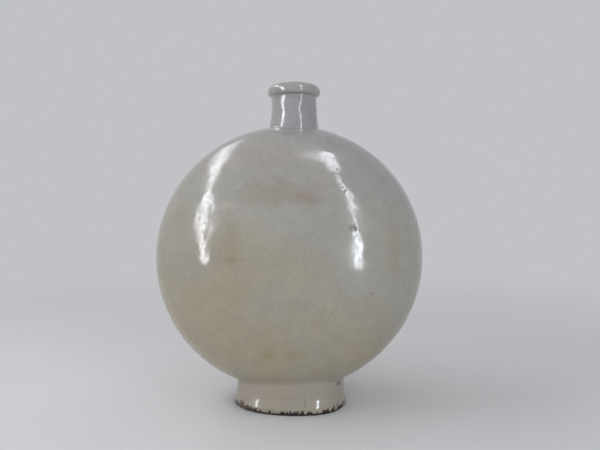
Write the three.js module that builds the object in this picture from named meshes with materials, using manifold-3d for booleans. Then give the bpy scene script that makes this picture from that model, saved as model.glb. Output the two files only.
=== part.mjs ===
// Flat bottle vase in glazed white porcelain, modelled as a potter builds it: two thrown bowls luted
// rim to rim and stood on edge, a thrown neck with a rolled lip, and an oval foot ring, with a layer of
// joining slip in each of the three joints.
// Millimetres, +Z up. The origin is the middle of the foot's resting plane, and -Y is the front face.
import * as THREE from "three";
import { mergeVertices } from "three/addons/utils/BufferGeometryUtils.js";
import Module from "manifold-3d";

// Body: two half shells, each a surface of revolution about the Y axis
const bodyDiameter = 200; // width and height of the round face
const bodyDepth = 116; // over the middle of both faces
const bodySquareness = 2.4; // exponent of the meridian: 2 is an ellipse, more is flatter on the face
const bodyWall = 5.5;
const bellyClearance = 9.6; // lowest point of the belly above the table

// Neck and its rolled lip: a surface of revolution about a vertical axis
const neckOffset = 3.5; // the neck stands a little to the right of the middle
const neckHeight = 30.4; // top of the body to the top of the lip
const neckDiameter = 33.2; // outside, at the waist below the lip
const neckSpread = 2; // how far the wall spreads from the waist to the body, on each side
const neckWall = 4;
const lipHeight = 8.6;
const lipDrop = 6.1; // from the top of the lip down to its widest line
const lipOverhang = 3.1; // how far the lip stands out from the waist
const lipFullness = 0.4; // roundness of the roll above its widest line: 0.55 is elliptic, less is flatter
const lipTaper = 0.3; // how far the lip draws in below its widest line
const lipEdgeRound = 0.9; // rounding of the lip's lower edge
const mouthRound = 1.2; // rounding of the mouth's inner edge

// Foot ring: an oval wall that spreads towards the table
const footWidth = 81.4; // outside, at the waist
const footDepth = 67; // outside, at the waist, front to back
const footSquareness = 2.3; // exponent of the oval: 2 is an ellipse, more is flatter in front
const footWall = 7;
const footFlare = 1.8; // how far the wall spreads out at its lower edge
const footFlareHeight = 15;
const footBevel = 1.2; // rounding of both edges of the resting face

// Joints
const seamThickness = 1; // slip between the rims of the two half shells
const slipThickness = 1; // slip under the neck and over the foot
const fitGap = 0.3; // clearance left on each side of a curved joint

// Facets
const bodySegments = 64;
const neckSegments = 44;
const footSegments = 56;
const outerSteps = 14;
const innerSteps = 11;
const curveSteps = 4;

// Sizes that follow from the ones above
const bodyRadius = bodyDiameter / 2;
const halfDepth = bodyDepth / 2;
const rimDepth = seamThickness / 2;
const centreHeight = bellyClearance + bodyRadius;
const bodyTop = centreHeight + bodyRadius;
const neckRadius = neckDiameter / 2;
const neckBaseRadius = neckRadius + neckSpread;
const boreRadius = neckRadius - neckWall;
const footInnerWidth = footWidth - 2 * footWall;
const footInnerDepth = footDepth - 2 * footWall;
const jointThickness = slipThickness + 2 * fitGap;

const wasm = await Module();
wasm.setup();

// A closed geometry as a solid that can be cut and joined.
function solidOf(geometry) {
  const bare = geometry.clone();
  bare.deleteAttribute("normal");
  bare.deleteAttribute("uv");
  const merged = mergeVertices(bare, 1e-4);
  const corners = [];
  for (let i = 0; i < merged.index.count; i += 3) {
    const [a, b, c] = merged.index.array.slice(i, i + 3);
    if (a !== b && b !== c && c !== a) corners.push(a, b, c);
  }
  const mesh = new wasm.Mesh({
    numProp: 3,
    vertProperties: merged.attributes.position.array,
    triVerts: new Uint32Array(corners),
  });
  return new wasm.Manifold(mesh);
}

// The faces of a solid as a geometry again.
function geometryOf(solid) {
  const { vertProperties, triVerts } = solid.getMesh();
  const geometry = new THREE.BufferGeometry();
  geometry.setAttribute("position", new THREE.BufferAttribute(vertProperties, 3));
  geometry.setIndex(new THREE.BufferAttribute(triVerts, 1));
  geometry.computeVertexNormals();
  return geometry;
}

// Outline of the body from the middle of a face to the rim: a quarter superellipse in (radius, depth).
function meridian(radius, depth, endDepth, steps) {
  const power = 2 / bodySquareness;
  const end = Math.acos((endDepth / depth) ** (1 / power));
  const points = [];
  for (let i = 0; i <= steps; i++) {
    const turn = (end * i) / steps;
    points.push(new THREE.Vector2(radius * Math.sin(turn) ** power, depth * Math.cos(turn) ** power));
  }
  points[0].x = 0;
  points[steps].y = endDepth;
  return points;
}

// The outside of the closed body grown by a margin, solid right through.
function bodyGrownBy(margin) {
  const back = meridian(bodyRadius + margin, halfDepth + margin, 0, outerSteps);
  const front = back.slice(0, -1).map((point) => new THREE.Vector2(point.x, -point.y));
  const whole = new THREE.LatheGeometry([...front, ...back.reverse()], bodySegments);
  return solidOf(whole.translate(0, 0, centreHeight));
}

// A profile in (radius, height) turned about the vertical.
function turned(profile, segments) {
  return new THREE.LatheGeometry(profile, segments).rotateX(Math.PI / 2);
}

// An upright oval column from a profile turned about the vertical, squared a little and squeezed front to back.
function ovalColumn(profile, width, depth) {
  const column = turned(profile, footSegments);
  const places = column.attributes.position;
  for (let i = 0; i < places.count; i++) {
    const turn = Math.atan2(places.getY(i), places.getX(i));
    const spread = Math.abs(Math.cos(turn)) ** footSquareness + Math.abs(Math.sin(turn)) ** footSquareness;
    const reach = spread ** (-1 / footSquareness);
    places.setXY(i, places.getX(i) * reach, places.getY(i) * reach);
  }
  return solidOf(column.scale(1, depth / width, 1));
}

// A straight oval column that reaches from the table to the middle of the body.
function straightOval(width, depth) {
  const profile = [
    new THREE.Vector2(0, -footBevel),
    new THREE.Vector2(width / 2, -footBevel),
    new THREE.Vector2(width / 2, centreHeight),
    new THREE.Vector2(0, centreHeight),
  ];
  return ovalColumn(profile, width, depth);
}

// A straight round column on the neck's axis, from the middle of the body to above the lip.
function neckColumn(radius) {
  const rise = bodyTop + neckHeight + lipHeight - centreHeight;
  const column = new THREE.CylinderGeometry(radius, radius, rise, neckSegments).rotateX(Math.PI / 2);
  return solidOf(column.translate(neckOffset, 0, centreHeight + rise / 2));
}

// Front and back bowls: an outer and an inner meridian joined by the flat rim, bored for the neck.
function halfShell(turn) {
  const outer = meridian(bodyRadius, halfDepth, rimDepth, outerSteps);
  const inner = meridian(bodyRadius - bodyWall, halfDepth - bodyWall, rimDepth, innerSteps);
  const bowl = new THREE.LatheGeometry([...inner, ...outer.reverse()], bodySegments);
  bowl.rotateZ(turn).translate(0, 0, centreHeight);
  return geometryOf(solidOf(bowl).subtract(neckColumn(boreRadius)));
}

// Slip between the two rims: a flat hoop as wide as the wall, open where the neck stands.
function seamSlip() {
  const outer = meridian(bodyRadius, halfDepth, rimDepth, outerSteps)[outerSteps].x;
  const inner = meridian(bodyRadius - bodyWall, halfDepth - bodyWall, rimDepth, innerSteps)[innerSteps].x;
  const section = [
    new THREE.Vector2(inner, -rimDepth),
    new THREE.Vector2(outer, -rimDepth),
    new THREE.Vector2(outer, rimDepth),
    new THREE.Vector2(inner, rimDepth),
    new THREE.Vector2(inner, -rimDepth),
  ];
  const hoop = new THREE.LatheGeometry(section, bodySegments).translate(0, 0, centreHeight);
  return geometryOf(solidOf(hoop).subtract(neckColumn(boreRadius)));
}

// Neck: a spreading tube with a rolled lip, its lower end cut to sit astride the body.
function neck() {
  const lipTop = bodyTop + neckHeight;
  const lipFoot = lipTop - lipHeight;
  const lipBelly = lipTop - lipDrop;
  const lipRadius = neckRadius + lipOverhang;
  const lipEdge = lipRadius - lipTaper;
  const edgeRound = Math.min(lipEdgeRound, (lipOverhang - lipTaper) / 2, (lipHeight - lipDrop) / 2);
  const crown = boreRadius + mouthRound;
  const stem = lipFoot - bodyTop;
  const outline = new THREE.Path();
  outline.moveTo(neckBaseRadius, centreHeight);
  outline.lineTo(neckBaseRadius, bodyTop);
  outline.bezierCurveTo(
    neckRadius + neckSpread / 2,
    bodyTop + stem / 4,
    neckRadius,
    bodyTop + stem / 2,
    neckRadius,
    lipFoot,
  );
  outline.lineTo(lipEdge - edgeRound, lipFoot);
  outline.quadraticCurveTo(lipEdge, lipFoot, lipEdge, lipFoot + edgeRound);
  outline.quadraticCurveTo(lipRadius, (lipFoot + lipBelly) / 2, lipRadius, lipBelly);
  outline.bezierCurveTo(
    lipRadius,
    lipBelly + lipFullness * lipDrop,
    crown + lipFullness * (lipRadius - crown),
    lipTop,
    crown,
    lipTop,
  );
  outline.absellipse(crown, lipTop - mouthRound, mouthRound, mouthRound, Math.PI / 2, Math.PI, false, 0);
  outline.lineTo(boreRadius, centreHeight);
  outline.closePath();
  const tube = turned(outline.getPoints(curveSteps), neckSegments).translate(neckOffset, 0, 0);
  return geometryOf(solidOf(tube).subtract(bodyGrownBy(jointThickness)));
}

// Slip under the neck: a saddle ring between the body and the neck's cut end.
function neckSlip() {
  const ring = neckColumn(neckBaseRadius).subtract(neckColumn(boreRadius));
  const layer = ring.intersect(bodyGrownBy(fitGap + slipThickness));
  return geometryOf(layer.subtract(bodyGrownBy(fitGap)));
}

// Foot ring: an oval wall, spread at its lower edge and cut above to fit the belly.
function footRing() {
  const waist = footWidth / 2;
  const rest = waist + footFlare;
  const outline = new THREE.Path();
  outline.moveTo(0, 0);
  outline.lineTo(rest - footBevel, 0);
  outline.quadraticCurveTo(rest, 0, rest, footBevel);
  outline.quadraticCurveTo(waist, footFlareHeight / 2, waist, footFlareHeight);
  outline.lineTo(waist, centreHeight);
  outline.lineTo(0, centreHeight);
  const outside = ovalColumn(outline.getPoints(curveSteps), footWidth, footDepth);
  const recess = footInnerWidth / 2;
  const hollow = new THREE.Path();
  hollow.moveTo(0, -footBevel);
  hollow.lineTo(recess + footBevel, -footBevel);
  hollow.lineTo(recess + footBevel, 0);
  hollow.quadraticCurveTo(recess, 0, recess, footBevel);
  hollow.lineTo(recess, centreHeight);
  hollow.lineTo(0, centreHeight);
  const inside = ovalColumn(hollow.getPoints(curveSteps), footInnerWidth, footInnerDepth);
  return geometryOf(outside.subtract(inside).subtract(bodyGrownBy(jointThickness)));
}

// Slip over the foot: a saddle ring between the foot's cut end and the belly.
function footSlip() {
  const ring = straightOval(footWidth, footDepth).subtract(straightOval(footInnerWidth, footInnerDepth));
  const layer = ring.intersect(bodyGrownBy(fitGap + slipThickness));
  return geometryOf(layer.subtract(bodyGrownBy(fitGap)));
}

const glazedPorcelain = new THREE.MeshStandardMaterial({ color: 0x8f8d82, roughness: 0.15, metalness: 0 });
const bareSlip = new THREE.MeshStandardMaterial({ color: 0x9a9488, roughness: 0.7, metalness: 0 });

const vase = new THREE.Group();
function addPiece(name, geometry, material) {
  const mesh = new THREE.Mesh(geometry, material);
  mesh.name = name;
  vase.add(mesh);
}
addPiece("front_half_shell", halfShell(Math.PI), glazedPorcelain);
addPiece("back_half_shell", halfShell(0), glazedPorcelain);
addPiece("seam_slip", seamSlip(), bareSlip);
addPiece("neck_with_lip", neck(), glazedPorcelain);
addPiece("neck_joint_slip", neckSlip(), bareSlip);
addPiece("foot_ring", footRing(), glazedPorcelain);
addPiece("foot_joint_slip", footSlip(), bareSlip);

export default vase;
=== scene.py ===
"""Flat bottle vase in white glazed porcelain: the finish of each piece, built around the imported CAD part.

The body is two thrown bowls luted rim to rim, with a neck and a foot ring that follow its curve where they
join it. Everything is in metres, with +Z up, -Y the front face and the origin under the middle of the foot.
"""

import math
import random
from dataclasses import dataclass
from functools import lru_cache

import bmesh
import bpy
from bpy.props import FloatProperty, FloatVectorProperty, PointerProperty
from mathutils import Matrix, Vector, noise
from mathutils.geometry import interpolate_bezier


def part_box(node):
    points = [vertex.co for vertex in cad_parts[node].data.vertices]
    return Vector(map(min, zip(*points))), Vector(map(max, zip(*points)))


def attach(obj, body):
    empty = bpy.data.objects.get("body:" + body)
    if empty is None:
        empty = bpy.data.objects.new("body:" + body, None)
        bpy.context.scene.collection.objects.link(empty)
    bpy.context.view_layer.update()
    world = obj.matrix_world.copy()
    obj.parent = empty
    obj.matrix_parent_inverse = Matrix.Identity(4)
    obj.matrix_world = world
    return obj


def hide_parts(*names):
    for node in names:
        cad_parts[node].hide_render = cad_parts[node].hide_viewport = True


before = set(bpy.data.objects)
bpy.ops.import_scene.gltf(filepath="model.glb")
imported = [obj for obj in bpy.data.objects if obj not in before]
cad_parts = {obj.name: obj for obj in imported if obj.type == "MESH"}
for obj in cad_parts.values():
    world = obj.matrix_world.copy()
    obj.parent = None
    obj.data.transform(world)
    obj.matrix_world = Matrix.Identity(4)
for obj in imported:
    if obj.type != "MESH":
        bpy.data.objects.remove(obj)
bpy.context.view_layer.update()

bl_info = {
    "name": "Flat Bottle Vase",
    "version": (1, 0, 0),
    "blender": (4, 5, 0),
    "location": "View3D > Sidebar > Vase",
    "description": "Builds a flat bottle vase in white glazed porcelain, piece by piece",
    "category": "Add Mesh",
}

SHELL_LOW, SHELL_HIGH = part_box("front_half_shell")
_, SEAM_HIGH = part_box("seam_slip")
NECK_LOW, NECK_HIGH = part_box("neck_with_lip")

# Facets
BODY_TURNS = 384
OUTER_STEPS = 200
INNER_STEPS = 36
NECK_TURNS = 176
FOOT_TURNS = 720
FLARE_STEPS = 48
BORE_TURNS = 96
ARC_STEPS = 10
WALL_STEPS = 40
SHARP_ANGLE = math.radians(40)
WELD = 1e-6

# Photograph's frame
IMAGE_WIDTH = 600
FOCAL_PIXELS = 580
SENSOR_WIDTH = 36.0


def length(name, description, default):
    """A size that the user may change, in metres."""
    return FloatProperty(
        name=name, description=description, default=default, min=0.0, unit="LENGTH", precision=5
    )


def number(name, description, default, low=0.0):
    """A plain number that the user may change."""
    return FloatProperty(name=name, description=description, default=default, min=low)


def colour(name, description, default):
    """A colour that the user may change."""
    return FloatVectorProperty(
        name=name, description=description, default=default, subtype="COLOR", size=3, min=0.0, max=1.0
    )


class VaseSizes(bpy.types.PropertyGroup):
    """Sizes of the vase's pieces."""

    body_radius: length("Body radius", "Half the width of the round face", (SHELL_HIGH.x - SHELL_LOW.x) / 2)
    body_half_depth: length("Body half depth", "From the seam to the middle of a face", -SHELL_LOW.y)
    body_squareness: number("Body squareness", "2 is an ellipse, more is flatter on the face", 2.4, 2.0)
    body_wall: length("Body wall", "Thickness of the thrown bowls", 0.0055)
    belly_clearance: length("Belly clearance", "Lowest point of the body above the table", SHELL_LOW.z)
    seam_half: length("Seam half", "Half the thickness of the slip between the bowls", SEAM_HIGH.y)
    neck_x: FloatProperty(
        name="Neck place", description="How far right of the middle the neck stands",
        default=(NECK_LOW.x + NECK_HIGH.x) / 2, unit="LENGTH", precision=5,
    )
    neck_waist: length("Neck waist", "Outer radius below the lip", 0.0166)
    neck_spread: length("Neck spread", "How far the wall spreads down to the body", 0.0019)
    bore: length("Bore", "Inner radius of the neck", 0.0126)
    lip_top: length("Lip top", "Height of the mouth above the table", NECK_HIGH.z)
    lip_radius: length("Lip radius", "Outer radius of the rolled lip", (NECK_HIGH.x - NECK_LOW.x) / 2)
    lip_height: length("Lip height", "Height of the rolled lip", 0.0086)
    lip_drop: length("Lip drop", "From the top of the lip down to its widest line", 0.0048)
    lip_fullness: number("Lip fullness", "Curve above the widest line, 0.55 is elliptic", 0.40, 0.2)
    lip_roll: number("Lip roll", "Curve below the widest line, 0.55 is elliptic", 0.74, 0.2)
    mouth_round: length("Mouth round", "Rounding of the mouth's inner edge", 0.0012)
    neck_fillet: length("Neck fillet", "Glaze pooled between neck and body", 0.0011)
    foot_waist: length("Foot waist", "Half its width above its flare", 0.0407)
    foot_side_flare: length("Foot side flare", "How far it spreads to the sides at the table", 0.0026)
    foot_narrowing: length("Foot narrowing", "How much less deep than wide it is, on each side", 0.0078)
    foot_front_flare: length("Foot front flare", "How far its toe spreads to front and back", 0.0020)
    foot_toe_top: length("Foot toe top", "Where the toe begins above the table", 0.0125)
    foot_toe_foot: length("Foot toe foot", "Where the toe stops spreading", 0.0035)
    foot_squareness: number("Foot squareness", "2 is an ellipse, more is flatter in front", 2.6, 2.0)
    foot_wall: length("Foot wall", "Thickness of the foot ring", 0.0070)
    foot_flare_height: length("Foot flare height", "Where the flare ends above the table", 0.0150)
    foot_slant: number("Foot slant", "How fast the worn bottom edge runs back to the left", 0.145)
    foot_slant_round: length("Foot slant round", "How gently that begins", 0.006)
    foot_slant_top: length("Foot slant top", "How high the slant reaches", 0.0052)
    foot_turn: FloatProperty(
        name="Foot turn", description="How far the oval is set askew",
        default=math.radians(-3), subtype="ANGLE",
    )
    foot_forward: length("Foot forward", "How far before the seam the foot is set", 0.0015)
    foot_lean: length("Foot lean", "How much further right the foot meets the belly", 0.0010)
    foot_round: length("Foot round", "How far the edges that rest are rounded in", 0.0014)
    foot_round_rise: length("Foot round rise", "How high the rounding of the outer edge reaches", 0.0042)
    foot_joint: length("Foot joint", "Mean height at which the foot meets the belly", 0.0195)
    foot_fillet: length("Foot fillet", "Glaze pooled between foot and belly", 0.0022)
    glaze_thickness: length("Glaze thickness", "Step at the ragged edge of the glaze", 0.0003)


class VaseFinish(bpy.types.PropertyGroup):
    """Colours of the glaze, the clay and what the kiln left on them, and of the reflection and shade
    painted on the glaze.
    """

    cream: colour("Cream", "Glaze over most of the body", (0.350, 0.341, 0.306))
    straw: colour("Straw", "Warm glaze on the lower body", (0.346, 0.302, 0.214))
    ash: colour("Ash", "Grey-green clouds in the glaze", (0.322, 0.311, 0.278))
    blush: colour("Blush", "Faint pink at the shoulders", (0.345, 0.326, 0.308))
    # Painted reflection: a bluish sheen of the light, painted into the colour of the neck and the shoulder
    # beside it.
    cool_sheen: colour("Cool_Sheen", "Cool, thicker glaze on the neck", (0.316, 0.314, 0.332))
    # Besides real stains, this colour paints a faint shade down the right edge of the front face.
    tea_and_shade: colour("Tea", "Yellow-brown stains in the glaze", (0.265, 0.205, 0.090))
    bloom: colour("Bloom", "Pink bloom in the glaze", (0.455, 0.385, 0.345))
    umber: colour("Umber", "Reddish brown stains in the glaze", (0.235, 0.174, 0.120))
    iron: colour("Iron", "Specks of iron in the clay", (0.075, 0.061, 0.047))
    chipped: colour("Chipped glaze", "Dull glaze in pits and chips", (0.190, 0.178, 0.150))
    foot_glaze: colour("Foot glaze", "Pinkish grey glaze of the foot", (0.352, 0.317, 0.273))
    pooled: colour("Pooled glaze", "Olive glaze where it gathers", (0.150, 0.138, 0.090))
    scorched: colour("Scorched clay", "Bare rim, burnt nearly black", (0.018, 0.012, 0.009))
    rust: colour("Rust", "Red-brown bare clay", (0.110, 0.050, 0.026))
    grit: colour("Grit", "Sand stuck to the rim", (0.180, 0.145, 0.115))
    roughness: FloatProperty(
        name="Roughness", description="Mean roughness of the glaze",
        default=0.17, min=0.0, max=1.0, subtype="FACTOR",
    )


class StageLooks(bpy.types.PropertyGroup):
    """Floor, backdrop and lamps."""

    floor: colour("Floor", "Colour of the floor", (0.73, 0.735, 0.75))
    backdrop: colour("Backdrop", "What shows behind the vase", (0.53, 0.54, 0.56))
    fill: number("Fill", "Strength of the light from all round", 0.44)
    strips: number("Lamps", "Brightness of all lamps together", 1.0)


@dataclass(frozen=True)
class BodyMarks:
    """What throwing, joining and glazing left on the body: sizes in metres, pitches in waves to a metre."""

    oval: float = 0.0006
    oval_turn: float = math.radians(17)
    slack: float = 0.00045
    lift: float = 0.0003
    sway: float = 0.00022
    sway_pitch: float = 17.0
    ripple: float = 0.00008
    ripple_pitch: float = 75.0
    dimple: float = 0.00003
    dimple_pitch: float = 165.0
    lump: float = 0.00006
    lump_pitch: tuple = (220.0, 220.0, 75.0)
    lump_place: tuple = (-0.056, -0.047, 0.148)
    lump_reach: float = 0.020
    comb: float = 0.000030
    comb_turns: float = 5.0
    comb_pitch: float = 300.0
    comb_fade: tuple = (0.01, 0.03)
    trim: float = 0.000020
    trim_spacing: float = 0.0105
    trim_drift: float = 9.0
    trim_sway: float = 4.0
    trim_floor: float = 0.5
    ridge: float = 0.00012
    ridge_width: float = 0.0030


@dataclass(frozen=True)
class NeckMarks:
    """What throwing left on the neck and lip."""

    oval: float = 0.00010
    oval_turn: float = -0.3
    sway: float = 0.00014
    sway_pitch: float = 55.0
    ripple: float = 0.00055
    ripple_pitch: float = 105.0
    lip_calm: float = 0.75
    ring: float = 0.000015
    ring_spacing: float = 0.0043
    ring_sway: float = 3.0
    ring_drift: float = 40.0


@dataclass(frozen=True)
class FootMarks:
    """The ragged edge of the glaze on the foot and the bare clay under it; turns are in radians."""

    edge: float = 0.0016
    edge_drift: float = 0.0004
    drift_pitch: float = 3.0
    bite_seed: int = 5
    bites: int = 190
    bite_width: tuple = (0.008, 0.026)
    bite_rise: tuple = (0.0005, 0.0027)
    worn_turns: tuple = (-2.45, -0.57)
    worn_spread: float = 0.24
    worn_gain: float = 0.8
    burnt_edge: tuple = (0.0005, 0.0011)
    rubbed: float = 0.0022
    rubbed_turn: float = -2.46
    rubbed_spread: float = 0.30
    slant_fade: tuple = (0.010, -0.012)
    crumble: float = 0.00016
    crumble_pitch: float = 700.0
    sway: float = 0.00016
    sway_pitch: float = 45.0
    edge_softness: float = 0.00022
    pool_height: float = 0.0009
    tread: float = 0.00008
    tread_pitch: float = 400.0


@dataclass(frozen=True)
class GritMarks:
    """Sand from the kiln shelf: how many grains, their sizes in metres, and how flat they are."""

    seed: int = 7
    grains: int = 150
    size: tuple = (0.00018, 0.00055)
    margin: float = 0.0003
    breadth: tuple = (0.7, 1.0)
    flatness: tuple = (0.6, 0.9)


BODY_MARKS = BodyMarks()
NECK_MARKS = NeckMarks()
FOOT_MARKS = FootMarks()
GRIT_MARKS = GritMarks()


def wobble(size, point, pitch):
    """Smooth unevenness of a size, with so many waves to the metre."""
    return size * noise.noise(point * pitch)


def smooth_step(value, low, high):
    """0 below low, 1 above high, and an S curve between them. Low may be the larger."""
    share = min(max((value - low) / (high - low), 0.0), 1.0)
    return share * share * (3.0 - 2.0 * share)


def meridian(radius, half_depth, power, end_depth, steps):
    """Quarter superellipse from the middle of a face to the rim, as (ring radius, depth) pairs."""
    exponent = 2.0 / power
    end = math.acos((end_depth / half_depth) ** (1.0 / exponent))
    turns = [end * step / steps for step in range(steps + 1)]
    rings = [radius * math.sin(turn) ** exponent for turn in turns]
    depths = [half_depth * math.cos(turn) ** exponent for turn in turns[:-1]] + [end_depth]
    return list(zip(rings, depths))


class BodyForm:
    """Outside of the closed body: a superellipse turned about the Y axis, with the potter's marks on it."""

    def __init__(self, sizes):
        self.radius = sizes.body_radius
        self.half_depth = sizes.body_half_depth
        self.power = sizes.body_squareness
        self.centre = Vector((0.0, 0.0, sizes.belly_clearance + sizes.body_radius))
        self.top = self.centre.z + self.radius

    def ring(self, depth):
        """Radius of the round section at a depth before or behind the seam."""
        share = min(abs(depth) / self.half_depth, 1.0)
        return self.radius * (1.0 - share ** self.power) ** (1.0 / self.power)

    def fullness(self, point):
        """1 on the outer surface, and less inside it."""
        arm = point - self.centre
        across = math.hypot(arm.x, arm.z) / self.radius
        return across ** self.power + (abs(arm.y) / self.half_depth) ** self.power

    def normal(self, point):
        """Direction out of the surface at a point on it."""
        arm = point - self.centre
        across = math.hypot(arm.x, arm.z)
        steep = across ** (self.power - 2.0) / self.radius ** self.power
        deep = abs(arm.y) ** (self.power - 2.0) / self.half_depth ** self.power
        return Vector((arm.x * steep, arm.y * deep, arm.z * steep)).normalized()

    def rise(self, point):
        """How far the hand-made surface stands out of the true form at a point."""
        marks = BODY_MARKS
        arm = point - self.centre
        across = math.hypot(arm.x, arm.z)
        turn = math.atan2(arm.z, arm.x)
        warp = marks.oval * math.cos(2.0 * (turn - marks.oval_turn))
        warp += marks.lift * math.sin(turn) - marks.slack
        warp *= (across / self.radius) ** 2
        uneven = wobble(marks.sway, point, marks.sway_pitch)
        uneven += wobble(marks.ripple, point, marks.ripple_pitch)
        uneven += wobble(marks.dimple, point, marks.dimple_pitch)
        lumpy = math.exp(-(((point - Vector(marks.lump_place)).length / marks.lump_reach) ** 2))
        uneven += wobble(marks.lump, point * Vector(marks.lump_pitch), 1.0) * lumpy
        comb_place = Vector((arm.x, arm.z, 0.0)) * (marks.comb_turns / max(across, WELD))
        comb_place.z = math.copysign(across, arm.y) * marks.comb_pitch
        uneven += wobble(marks.comb, comb_place, 1.0) * smooth_step(across, *marks.comb_fade)
        drift = wobble(1.0, point, marks.trim_drift)
        trim = math.sin(math.tau * across / marks.trim_spacing + marks.trim_sway * drift)
        trim *= marks.trim * (marks.trim_floor + drift)
        ridge = marks.ridge * math.exp(-((point.y / marks.ridge_width) ** 2))
        return warp + uneven + trim + ridge

    def worked(self, point):
        """The point of the hand-made surface over a point of the true form."""
        return point + self.normal(point) * self.rise(point)

    def height(self, x, y, side):
        """Height of the hand-made surface above the table at (x, y): side 1 is the top, -1 the belly."""
        drop = math.sqrt(max(self.ring(y) ** 2 - x * x, 0.0))
        point = self.centre + Vector((x, y, side * drop))
        return point.z + self.rise(point) / self.normal(point).z


def arc(centre, radii, start, end, steps=ARC_STEPS):
    """Points of an elliptic arc, from the start angle to the end angle in degrees."""
    turns = [math.radians(start + (end - start) * step / steps) for step in range(steps + 1)]
    across, up = centre
    return [(across + radii[0] * math.cos(turn), up + radii[1] * math.sin(turn)) for turn in turns]


def straight(start, end, steps):
    """Evenly spaced points on a line."""
    shares = [step / steps for step in range(steps + 1)]
    across = end[0] - start[0]
    up = end[1] - start[1]
    return [(start[0] + across * share, start[1] + up * share) for share in shares]


def curve(start, first_handle, second_handle, end, steps):
    """Points of a cubic curve."""
    corners = [Vector((point[0], point[1])) for point in (start, first_handle, second_handle, end)]
    return [tuple(point) for point in interpolate_bezier(*corners, steps + 1)]


def tail(start, reach, sink, steps=6):
    """A thin skirt that runs out along the ground and sinks under it."""
    shares = [(step + 1) / steps for step in range(steps)]
    return [(start[0] + reach * share, start[1] - sink * share * share) for share in shares]


def without_repeats(points):
    """The points of a profile with neighbours at the same place left out."""
    kept = [points[0]]
    for point in points[1:]:
        if math.dist(point, kept[-1]) > WELD:
            kept.append(point)
    return kept


def turned(profile, centre, axis, turns, closed):
    """A mesh made by turning a line of points round an axis through the centre."""
    form = bmesh.new()
    corners = [form.verts.new(point) for point in profile]
    edges = [form.edges.new(pair) for pair in zip(corners, corners[1:])]
    if closed:
        edges.append(form.edges.new((corners[-1], corners[0])))
    bmesh.ops.spin(
        form, geom=corners + edges, cent=centre, axis=axis, angle=math.tau, steps=turns, use_merge=True
    )
    bmesh.ops.remove_doubles(form, verts=form.verts[:], dist=WELD)
    bmesh.ops.recalc_face_normals(form, faces=form.faces[:])
    return form


def object_of(name, form):
    """The finished mesh as an object in the scene."""
    mesh = bpy.data.meshes.new(name)
    form.to_mesh(mesh)
    form.free()
    piece = bpy.data.objects.new(name, mesh)
    bpy.context.scene.collection.objects.link(piece)
    return piece


def smoothed(piece):
    """Shades the piece smooth, but keeps its real edges crisp."""
    piece.data.shade_smooth()
    piece.data.set_sharp_from_angle(angle=SHARP_ANGLE)


def settled(piece, material, slot, *nodes):
    """Gives the piece its finish and its place among the CAD nodes."""
    smoothed(piece)
    piece.data.materials.clear()
    piece.data.materials.append(material)
    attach(piece, "root")
    if nodes:
        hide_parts(*nodes)


def bored(piece, sizes, body):
    """Cuts the neck's bore through a piece of the body."""
    clearance = 0.0003
    rise = sizes.lip_top - body.centre.z
    cutter_form = bmesh.new()
    place = Matrix.Translation((sizes.neck_x, 0.0, body.centre.z + rise / 2))
    radius = sizes.bore + clearance
    bmesh.ops.create_cone(
        cutter_form, cap_ends=True, segments=BORE_TURNS,
        radius1=radius, radius2=radius, depth=rise, matrix=place,
    )
    cutter = object_of("neck_bore_cutter", cutter_form)
    cut = piece.modifiers.new("neck bore", "BOOLEAN")
    cut.operation = "DIFFERENCE"
    cut.solver = "EXACT"
    cut.object = cutter
    bpy.context.view_layer.update()
    graph = bpy.context.evaluated_depsgraph_get()
    whole = piece.data
    piece.data = bpy.data.meshes.new_from_object(piece.evaluated_get(graph))
    piece.data.name = piece.name
    piece.modifiers.clear()
    bpy.data.meshes.remove(whole)
    bpy.data.meshes.remove(cutter.data)


def body_piece(name, sizes, body, profile, closed):
    """A piece of the body: its profile turned about the axis through both faces, worked and bored."""
    outside = 0.95
    points = [Vector((ring, depth, body.centre.z)) for ring, depth in profile]
    form = turned(points, body.centre, (0.0, 1.0, 0.0), BODY_TURNS, closed)
    for vert in form.verts:
        if body.fullness(vert.co) > outside:
            vert.co = body.worked(vert.co)
    piece = object_of(name, form)
    bored(piece, sizes, body)
    return piece


def half_shell(name, sizes, side):
    """One thrown bowl of the body, with its wall, its flat rim and the bore for the neck."""
    body = BodyForm(sizes)
    wall = sizes.body_wall
    rim = sizes.seam_half
    outer = meridian(body.radius, body.half_depth, body.power, rim, OUTER_STEPS)
    inner = meridian(body.radius - wall, body.half_depth - wall, body.power, rim, INNER_STEPS)
    profile = [(ring, side * depth) for ring, depth in outer + inner[::-1]]
    return body_piece(name, sizes, body, profile, closed=False)


def seam_band(name, sizes):
    """The slip squeezed between the two rims, a thin hoop that shows as a faint line."""
    across = 4
    body = BodyForm(sizes)
    half = sizes.seam_half
    inner = body.radius - sizes.body_wall
    face = [(body.ring(depth), depth) for _, depth in straight((0.0, -half), (0.0, half), across)]
    return body_piece(name, sizes, body, face + [(inner, half), (inner, -half)], closed=True)


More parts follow.
